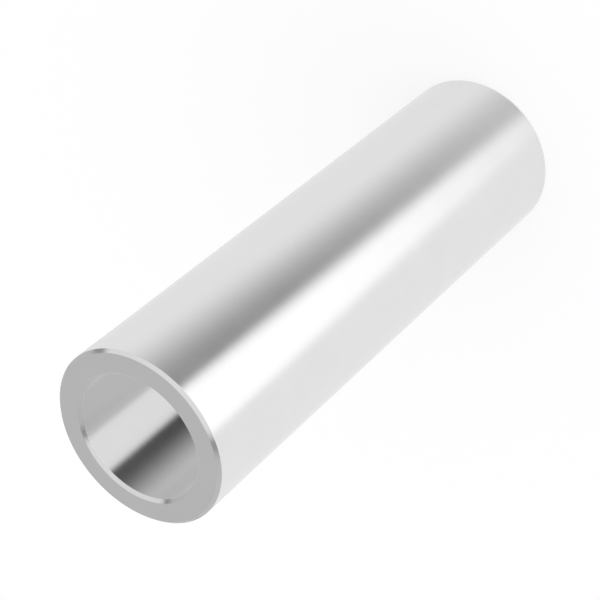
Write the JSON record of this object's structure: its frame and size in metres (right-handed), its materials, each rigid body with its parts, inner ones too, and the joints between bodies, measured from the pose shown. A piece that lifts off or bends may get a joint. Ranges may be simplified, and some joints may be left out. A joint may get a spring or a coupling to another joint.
{
  "type": "spacer sleeve",
  "caption": "Plain straight metal tube that slides over a screw and holds two parts apart between its flat, lightly chamfered end faces.",
  "frame": {"origin": "centre of the lower end face, on the bore's axis", "axes": "+Z along the bore axis, from the lower end face to the upper one; X and Y are free, because the sleeve is round"},
  "size_m": [0.006, 0.006, 0.0206],
  "materials": {
    "bright_steel": "bright fine-turned steel with a smooth, slightly satin gloss"
  },
  "bodies": {
    "root": {"spacer_sleeve": "bright_steel"}
  },
  "joints": []
}
